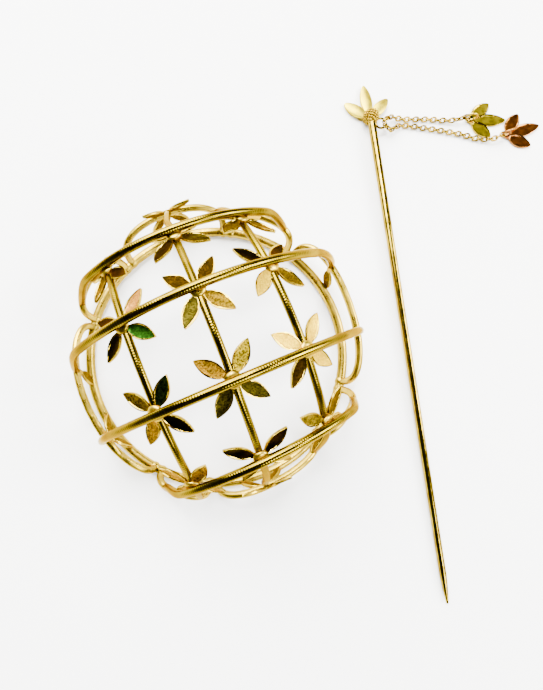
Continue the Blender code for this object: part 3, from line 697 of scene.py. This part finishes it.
def leaf_part(reach, width, dish, border, sheet, bluntness):
    """A leaf along +X on z = 0, with its face sunk inside a narrow border and its edges rounded."""
    part = new_shape()
    along_mm = part.verts.layers.float["along_mm"]
    across_mm = part.verts.layers.float["across_mm"]
    rows = len(LEAF_ROWS) - 1
    bmesh.ops.create_grid(part, x_segments=LEAF_LENGTH_CELLS, y_segments=2 * rows, size=1.0)
    for vert in part.verts:
        share = (vert.co.x + 1) / 2
        row = round(abs(vert.co.y) * rows)
        across = math.copysign(LEAF_ROWS[row], vert.co.y)
        x = reach * (1 - (1 - share) ** TIP_CROWDING)
        blade = (x - BLADE_START) / (reach - BLADE_START)
        neck = LEAF_STEM_WIDTH / 2 * min(max((NECK_END - blade) / NECK_FADE, 0.0), 1.0)
        half = max(blade_half(blade, width, bluntness) if blade > 0 else 0.0, neck)
        sunk = border if row < FACE_ROWS and half > FACE_PAST_NECK * neck else 0.0
        hollow = dish * (1 - across ** 2) * (half / (width / 2)) ** 2
        vert.co = Vector((x, across * half, -sunk - hollow))
        vert[along_mm] = x / MM
        vert[across_mm] = across * half / MM
    for face in part.faces:
        outer = OUTER_SHARE * max(abs(vert.co.y) for vert in face.verts)
        inside = all(abs(vert.co.y) < outer or vert.co.z < -border / 2 for vert in face.verts)
        face.material_index = 1 if inside and face.calc_center_median().x > FACE_START else 0
    bmesh.ops.remove_doubles(part, verts=part.verts, dist=LEAF_MERGE)
    bmesh.ops.recalc_face_normals(part, faces=part.faces)
    if sum(face.normal.z for face in part.faces) < 0:
        bmesh.ops.reverse_faces(part, faces=part.faces)
    under = bmesh.ops.extrude_face_region(part, geom=part.faces[:])["geom"]
    lowered = [item for item in under if isinstance(item, bmesh.types.BMVert)]
    bmesh.ops.translate(part, verts=lowered, vec=(0.0, 0.0, -sheet))
    bmesh.ops.recalc_face_normals(part, faces=part.faces)
    bmesh.ops.bevel(part, geom=sharp_edges(part, LEAF_EDGE_ANGLE), offset=LEAF_BEVEL, segments=2,
                    profile=0.5, affect="EDGES", material=-1, clamp_overlap=True)
    return part


def place_part(part, centre, along, normal, droop=0.0):
    """Turns a leaf so that it points along a direction at a point, with its tip tilted down."""
    across = normal.cross(along).normalized()
    along = (Matrix.Rotation(math.radians(droop), 4, across) @ along).normalized()
    turn = Matrix((along, across, along.cross(across))).transposed().to_4x4()
    bmesh.ops.transform(part, matrix=Matrix.Translation(centre) @ turn, verts=part.verts)
    return part


def finished(name, shape, nodes, slot, *materials):
    """The piece's object, at its place in the frame, standing for its CAD nodes."""
    bmesh.ops.transform(shape, matrix=Matrix.Translation(CENTRE), verts=shape.verts)
    for face in shape.faces:
        face.smooth = True
    for edge in sharp_edges(shape, CREASE_ANGLE):
        edge.smooth = False
    mesh = bpy.data.meshes.new(name)
    shape.to_mesh(mesh)
    shape.free()
    for material in materials:
        mesh.materials.append(material)
    piece = bpy.data.objects.new(name, mesh)
    bpy.context.scene.collection.objects.link(piece)
    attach(piece, "root")
    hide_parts(*nodes)


# The cage


def leaves_at_end(name, end):
    """Whether leaves rise from the rim beside a wire's end, so that it keeps its lift there."""
    return (name, end, RIM_LEAVES) in RIM_SPRIGS


def dome_path(name, lift, bend_from):
    """Points of a dome wire, lifted off the dome's surface, that ends on the arches' crowns."""
    start, along = LINES[name]
    low, high = rim_reach(start, along)
    shifts = {}
    for end, reach in ((-1, low), (1, high)):
        plan = start + along * reach
        normal = dome_normal(*plan)
        kept = lift if leaves_at_end(name, end) else 0.0
        shifts[end] = arch_crown(plan) + normal * kept - dome_point(*plan) - normal * lift
    points = []
    for step in range(WIRE_STEPS + 1):
        share = math.sin((step / WIRE_STEPS - 0.5) * math.pi)
        plan = start + along * ((low + high) / 2 + (high - low) / 2 * share)
        bend = min(max((abs(share) - bend_from) / (1 - bend_from), 0.0), 1.0)
        shift = shifts[1 if share > 0 else -1] * (bend * bend * (3 - 2 * bend))
        points.append(dome_point(*plan) + dome_normal(*plan) * lift + shift)
    return points


def sprig_parts(spot, place, along, leaves):
    """Turned leaves from a place; their directions turn from along to up the surface."""
    normal = dome_normal(*spot)
    along = (along - normal * along.dot(normal)).normalized()
    up = normal.cross(along).normalized()
    parts = []
    for direction, droop in leaves:
        angle = math.radians(direction)
        part = leaf_part(LEAF_REACH, LEAF_WIDTH, LEAF_DISH, LEAF_BORDER, LEAF_SHEET, LEAF_BLUNTNESS)
        towards = along * math.cos(angle) + up * math.sin(angle)
        parts.append(place_part(part, place + normal * LEAF_SHEET / 2, towards, normal, droop))
    return parts


def build_rim():
    shape = new_shape()
    add_hoop(shape, UP * RING_HEIGHT, UP, RING_RADIUS, RING_WIRE, RING_STEPS, RING_SIDES)
    for line in ARCH_LINES:
        add_wire(shape, line, ARCH_WIRE)
        for foot in (line[0], line[-1]):
            add_solder(shape, foot + UP * FOOT_SOLDER_LIFT, UP, FOOT_SOLDER_RADIUS, FOOT_SOLDER_HEIGHT)
    finished("base_rim_wires", shape, ["base_rim"], "cage_gold", RIM_GOLD)
    for name, end, leaves in RIM_SPRIGS:
        start, along = LINES[name]
        spot = start + along * rim_reach(start, along)[1 if end > 0 else 0]
        around = Vector((-spot.y, spot.x, 0.0)).normalized()
        lift = LEAF_LIFT if name.startswith("cross") else -LEAF_LIFT
        place = arch_crown(spot) + dome_normal(*spot) * lift
        side = "far" if end > 0 else "near"
        for number, part in enumerate(sprig_parts(spot, place, around, leaves)):
            leaf_name = f"rim_leaf_{name}_{side}_{number + 1}"
            finished(leaf_name, part, ["base_rim"], "cage_gold", RIM_GOLD, LEAF_FACES["amber"])


def build_dome():
    for name, _, _ in LONG_WIRES:
        shape = new_shape()
        add_wire(shape, dome_path(name, (LONG_WIRE + GAP) / 2, LONG_BEND), LONG_WIRE)
        node = name.replace("_", "_wire_")
        finished(node + "_polished", shape, [node], "cage_gold", WIRE_GOLD)
    for name, _, _ in CROSS_WIRES:
        shape = new_shape()
        add_wire(shape, dome_path(name, -(CROSS_WIRE + GAP) / 2, CROSS_BEND), CROSS_WIRE)
        node = name.replace("_", "_wire_")
        solder = new_shape()
        for long_name, _, _ in LONG_WIRES:
            spot = crossing(LINES[long_name], LINES[name])
            normal = dome_normal(*spot)
            bead = dome_point(*spot) - normal * CROSSING_SOLDER_DROP
            add_solder(solder, bead, normal, CROSSING_SOLDER_RADIUS, CROSSING_SOLDER_HEIGHT)
            turns = SPRIG_TURNS[(long_name, name)]
            leaves = [(direction + turn, droop) for (direction, droop), turn in zip(SPRIG_LEAVES, turns)]
            place = dome_point(*spot) - normal * LEAF_LIFT
            parts = sprig_parts(spot, place, LINES[long_name][1].to_3d(), leaves)
            for number, part in enumerate(parts):
                # the leaf's tone is a painted reflection of what it faces
                tone = SPRIG_REFLECTION_TONES[(long_name, name)][number]
                leaf_name = f"leaf_{long_name}_{name}_{number + 1}"
                finished(leaf_name, part, [node], "cage_gold", EDGE_GOLD, LEAF_FACES[tone])
        finished(node + "_polished", shape, [node], "cage_gold", WIRE_GOLD)
        finished(node + "_solder", solder, [node], "cage_gold", RIM_GOLD)


# The stick


def head_loop_centre():
    knot = Vector((*HEAD_PLACE, KNOT_RADIUS))
    return knot + heading(HEAD_LOOP_TURN) * (KNOT_RADIUS + LOOP_RADIUS - LOOP_BITE)


def build_stick():
    head = Vector((*HEAD_PLACE, KNOT_RADIUS))
    tip = STICK_TIP_WIRE / 2
    dip = math.asin((KNOT_RADIUS - STICK_SHOULDER_WIRE / 2) / (STICK_LENGTH - STICK_POINT))
    lay = Matrix.Translation(head) @ Matrix.Rotation(math.radians(STICK_TURN), 4, "Z")
    lay = lay @ Matrix.Rotation(math.pi / 2 + dip, 4, "Y")
    shoulder = STICK_LENGTH - STICK_POINT
    profile = (
        (0.0, STICK_HEAD_WIRE),
        (shoulder / 2, STICK_MIDDLE_WIRE),
        (shoulder, STICK_SHOULDER_WIRE),
        (shoulder + STICK_POINT / 2, STICK_POINT_WIRE),
        (STICK_LENGTH - tip, STICK_TIP_WIRE),
        (STICK_LENGTH - tip * TIP_END, STICK_TIP_WIRE * TIP_FLAT),
    )
    shaft = new_shape()
    along_mm = shaft.verts.layers.float["along_mm"]
    hoops = []
    for height, width in profile:
        ring = bmesh.ops.create_circle(shaft, segments=STICK_SIDES, radius=width / 2)["verts"]
        bmesh.ops.translate(shaft, verts=ring, vec=(0.0, 0.0, height))
        for vert in ring:
            vert[along_mm] = height / MM
        hoops.append(ring_edges(ring))
    skin(shaft, hoops)
    bmesh.ops.recalc_face_normals(shaft, faces=shaft.faces)
    bmesh.ops.transform(shaft, matrix=lay, verts=shaft.verts)
    add_hoop(shaft, head_loop_centre(), UP, LOOP_RADIUS, LOOP_WIRE, LOOP_STEPS, LOOP_SIDES)
    finished("stick_shaft", shaft, ["hair_stick"], "stick_gold", STICK_GOLD)

    knot = new_shape()
    bmesh.ops.create_icosphere(knot, subdivisions=3, radius=KNOT_CORE)
    golden = math.pi * (3 - math.sqrt(5))
    for number in range(KNOT_GRAINS):
        height = 1 - 2 * (number + 0.5) / KNOT_GRAINS
        flat = math.sqrt(1 - height ** 2)
        out = Vector((flat * math.cos(golden * number), flat * math.sin(golden * number), height))
        grain = bmesh.ops.create_icosphere(knot, subdivisions=2, radius=KNOT_GRAIN)["verts"]
        bmesh.ops.translate(knot, verts=grain, vec=out * (KNOT_RADIUS - KNOT_GRAIN))
    bmesh.ops.transform(knot, matrix=lay, verts=knot.verts)
    finished("stick_knot", knot, ["hair_stick"], "stick_gold", KNOT_GOLD)

    base = Vector((*HEAD_PLACE, FAN_SHEET_HEIGHT))
    middle = STICK_TURN + 180.0
    for number, (spread, reach) in enumerate(FAN_LEAVES):
        leaf = leaf_part(reach, LEAF_WIDTH, -FAN_CROWN, 0.0, LEAF_SHEET, FAN_BLUNTNESS)
        place_part(leaf, base + UP * LEAF_SHEET / 2, heading(middle + spread), UP, FAN_DROOP)
        finished(f"stick_leaf_{number + 1}", leaf, ["hair_stick"], "stick_gold", FAN_GOLD, FAN_GOLD)


# The chains and charms


def smooth_route(points):
    """Many points along a smooth curve through the chosen ones."""
    guide = [points[0] * 2 - points[1]] + list(points) + [points[-1] * 2 - points[-2]]
    route = []
    for before, start, end, after in zip(guide, guide[1:], guide[2:], guide[3:]):
        for step in range(ROUTE_STEPS):
            t = step / ROUTE_STEPS
            bend = start * 2 + (end - before) * t + (before * 2 - start * 5 + end * 4 - after) * t ** 2
            route.append((bend + (start * 3 - before - end * 3 + after) * t ** 3) / 2)
    route.append(points[-1].copy())
    return route


def link_roll(number, count):
    """A link's turn about the chain: upright at the head, flat at the charm, on edge between."""
    start = max(0.0, 1.0 - number / TWIST_LINKS)
    end = max(0.0, 1.0 - (count - 1 - number) / TWIST_LINKS)
    last = -LINK_LEAN if count % 2 else LINK_LEAN
    return 2 * LINK_LEAN * number + LINK_LEAN + LINK_LEAN * start + last * end


def link_height(number, count, start_height, end_height):
    """Height of a link's middle: on the surface, and up to the loops at both ends."""
    roll = math.radians(link_roll(number, count))
    lean = max(abs(math.sin(roll)), abs(math.cos(roll)))
    rest = (LINK_WIDTH - LINK_WIRE) / 2 * lean + LINK_WIRE / 2
    start = max(0.0, 1.0 - number / RISE_LINKS) ** RISE_POWER
    end = max(0.0, 1.0 - (count - 1 - number) / RISE_LINKS) ** RISE_POWER
    return rest + max(start_height - rest, 0.0) * start + max(end_height - rest, 0.0) * end


def apart(spot, height, place):
    """Distance between a spot in plan, taken at a height, and a place."""
    return (Vector((*spot, height)) - place).length


def chain_places(loop_centre, turn, route, count, end_height):
    """Middle of each link, one pitch apart, from the head's loop along the route."""
    first = loop_centre + heading(turn) * (LOOP_RADIUS - LINK_TO_LOOP + LINK_END)
    plan = [first.xy, (first + heading(turn) * LINK_PITCH).xy] + [Vector(point) * MM for point in route]
    curve = smooth_route(plan)
    places = [first]
    spot = 0
    for number in range(1, count):
        height = link_height(number, count, loop_centre.z, end_height)
        while spot < len(curve) - 2 and apart(curve[spot + 1], height, places[-1]) < LINK_PITCH:
            spot += 1
        low = 0.0
        high = 1.0
        for _ in range(HALVINGS):
            share = (low + high) / 2
            place = Vector((*curve[spot].lerp(curve[spot + 1], share), height))
            if (place - places[-1]).length < LINK_PITCH:
                low = share
            else:
                high = share
        places.append(place)
    return places


def add_link(shape, place, along, roll):
    """An oval link of round wire, long way along the chain."""
    side = UP.cross(along).normalized()
    up = along.cross(side)
    turn = math.radians(roll)
    flat = side * math.cos(turn) + up * math.sin(turn)
    normal = along.cross(flat)
    hoops = []
    for step in range(LINK_STEPS):
        angle = 2 * math.pi * step / LINK_STEPS
        reach = abs(math.cos(angle)) ** LINK_ROUNDNESS
        centre = along * math.copysign(FINE_LINK_END * reach, math.cos(angle))
        centre += flat * ((FINE_LINK_WIDTH - FINE_LINK_WIRE) / 2 * math.sin(angle))
        outward = along * math.cos(angle) / FINE_LINK_LENGTH + flat * math.sin(angle) / FINE_LINK_WIDTH
        outward.normalize()
        ring = bmesh.ops.create_circle(shape, segments=LINK_SIDES, radius=FINE_LINK_WIRE / 2)["verts"]
        turned = Matrix((outward, normal, outward.cross(normal))).transposed().to_4x4()
        bmesh.ops.transform(shape, matrix=Matrix.Translation(place + centre) @ turned, verts=ring)
        hoops.append(ring_edges(ring))
    for first, second in zip(hoops, hoops[1:] + hoops[:1]):
        bmesh.ops.bridge_loops(shape, edges=first + second)


def fine_places(places):
    """Middles of the fine links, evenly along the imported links, with both ends moved up to the loops."""
    shift = LINK_END - FINE_LINK_END
    line = [place.copy() for place in places]
    line[0] += (places[0] - places[1]).normalized() * shift
    line[-1] += (places[-1] - places[-2]).normalized() * shift
    lengths = [(end - start).length for start, end in zip(line, line[1:])]
    count = round(sum(lengths) / FINE_LINK_PITCH) + 1
    fine = []
    for number in range(count):
        distance = sum(lengths) * number / (count - 1)
        spot = 0
        while spot < len(lengths) - 1 and distance > lengths[spot]:
            distance -= lengths[spot]
            spot += 1
        fine.append(line[spot].lerp(line[spot + 1], distance / lengths[spot]))
    return fine


def build_chain(name, packed_places):
    places = fine_places(packed_places)
    shape = new_shape()
    for number, place in enumerate(places):
        before = places[max(number - 1, 0)]
        after = places[min(number + 1, len(places) - 1)]
        add_link(shape, place, (after - before).normalized(), link_roll(number, len(places)))
    bmesh.ops.recalc_face_normals(shape, faces=shape.faces)
    finished(name + "_links", shape, [name], "chain_gold", CHAIN_GOLD)


def charm_loop_height():
    """Height of the middle of a charm's loop, which stands on the surface."""
    return LOOP_RADIUS + LOOP_WIRE / 2 / math.cos(math.pi / SOLID_LOOP_SIDES)


def build_charm(name, places, turn, slot, face, edge):
    """Three leaves flat on the surface, with a loop standing at their base for the chain's last link."""
    along = places[-1] - places[-2]
    along.z = 0.0
    hook = places[-1] + along.normalized() * (LINK_END - LINK_TO_LOOP)
    centre = hook + heading(turn) * LOOP_RADIUS
    centre.z = charm_loop_height()
    shape = new_shape()
    add_hoop(shape, centre, heading(turn + 90.0), LOOP_RADIUS, LOOP_WIRE, LOOP_STEPS, LOOP_SIDES)
    finished(name + "_loop", shape, [name], slot, edge)
    base = Vector((centre.x, centre.y, LEAF_SHEET))
    for number, spread in enumerate((-CHARM_SPREAD, 0.0, CHARM_SPREAD)):
        reach = CHARM_SIDE_REACH if spread else CHARM_MIDDLE_REACH
        sheet = LEAF_SHEET - CHARM_BORDER
        leaf = leaf_part(reach, CHARM_LEAF_WIDTH, 0.0, CHARM_BORDER, sheet, CHARM_BLUNTNESS)
        place_part(leaf, base, heading(turn + spread), UP)
        finished(f"{name}_leaf_{number + 1}", leaf, [name], slot, edge, face)


def build_drops():
    start = head_loop_centre()
    end_height = charm_loop_height()
    short = chain_places(start, SHORT_CHAIN_TURN, SHORT_CHAIN_ROUTE, SHORT_CHAIN_LINKS, end_height)
    long = chain_places(start, LONG_CHAIN_TURN, LONG_CHAIN_ROUTE, LONG_CHAIN_LINKS, end_height)
    build_chain("short_chain", short)
    build_chain("long_chain", long)
    build_charm("short_chain_charm", short, SHORT_CHARM_TURN, "yellow_gold", YELLOW_FACE, EDGE_GOLD)
    build_charm("long_chain_charm", long, LONG_CHARM_TURN, "copper_gold", COPPER_FACE, COPPER_EDGE)


# The studio


def camera_frame():
    """The camera's right, up and back directions."""
    turn = math.radians(CAMERA_TURN)
    tilt = math.radians(CAMERA_TILT)
    lower_side = Vector((math.sin(turn), -math.cos(turn), 0.0))
    back = UP * math.cos(tilt) + lower_side * math.sin(tilt)
    right = (UP * math.sin(tilt) - lower_side * math.cos(tilt)).cross(back).normalized()
    return right, back.cross(right), back


def set_camera():
    right, up, back = camera_frame()
    camera = bpy.data.cameras.new("camera")
    long_side = max(IMAGE_SIZE)
    camera.sensor_width = SENSOR
    camera.lens = FOCAL_PIXELS * SENSOR / long_side
    camera.shift_x = (IMAGE_SIZE[0] / 2 - AXIS_PIXEL[0]) / long_side
    camera.shift_y = (AXIS_PIXEL[1] - IMAGE_SIZE[1] / 2) / long_side
    camera.clip_start = CAMERA_NEAR
    obj = bpy.data.objects.new("camera", camera)
    bpy.context.scene.collection.objects.link(obj)
    turn = Matrix((right, up, back)).transposed().to_4x4()
    obj.matrix_world = Matrix.Translation(CENTRE + back * CAMERA_DISTANCE) @ turn
    bpy.context.scene.camera = obj


def softbox(name, right_share, up_share, height, size, power):
    """A square soft light, placed by the picture's right and up directions and aimed at the cage."""
    right, up, _ = camera_frame()
    flat_right = Vector((right.x, right.y, 0.0)).normalized()
    flat_up = Vector((up.x, up.y, 0.0)).normalized()
    place = CENTRE + flat_right * right_share + flat_up * up_share + UP * height
    light = bpy.data.lights.new(name, "AREA")
    light.shape = "SQUARE"
    light.size = size
    light.energy = power
    obj = bpy.data.objects.new(name, light)
    bpy.context.scene.collection.objects.link(obj)
    aim = (place - CENTRE - UP * AIM_HEIGHT).to_track_quat("Z", "Y").to_matrix().to_4x4()
    obj.matrix_world = Matrix.Translation(place) @ aim


def build_studio():
    shape = bmesh.new()
    bmesh.ops.create_grid(shape, x_segments=1, y_segments=1, size=TABLE_HALF)
    mesh = bpy.data.meshes.new("table")
    shape.to_mesh(mesh)
    shape.free()
    table = bpy.data.objects.new("table", mesh)
    bpy.context.scene.collection.objects.link(table)
    paper = bpy.data.materials.new("white_paper")
    paper.use_nodes = True
    shader = paper.node_tree.nodes["Principled BSDF"]
    shader.inputs["Base Color"].default_value = linear("FCFCFA")
    shader.inputs["Roughness"].default_value = PAPER_ROUGHNESS
    mesh.materials.append(paper)
    for light in LIGHTS:
        softbox(*light)
    world = bpy.data.worlds.new("room")
    world.use_nodes = True
    tree = world.node_tree
    direction = add(tree, "ShaderNodeTexCoord").outputs["Generated"]
    height = add(tree, "ShaderNodeSeparateXYZ", Vector=direction).outputs["Z"]
    ramp = add(tree, "ShaderNodeValToRGB", Fac=height)
    for stop, (position, tone) in zip(ramp.color_ramp.elements, ROOM_TONES):
        stop.position = position
        stop.color = tone
    backdrop = tree.nodes["Background"]
    tree.links.new(ramp.outputs["Color"], backdrop.inputs["Color"])
    backdrop.inputs["Strength"].default_value = 1.0
    bpy.context.scene.world = world


build_rim()
build_dome()
build_stick()
build_drops()
set_camera()
build_studio()
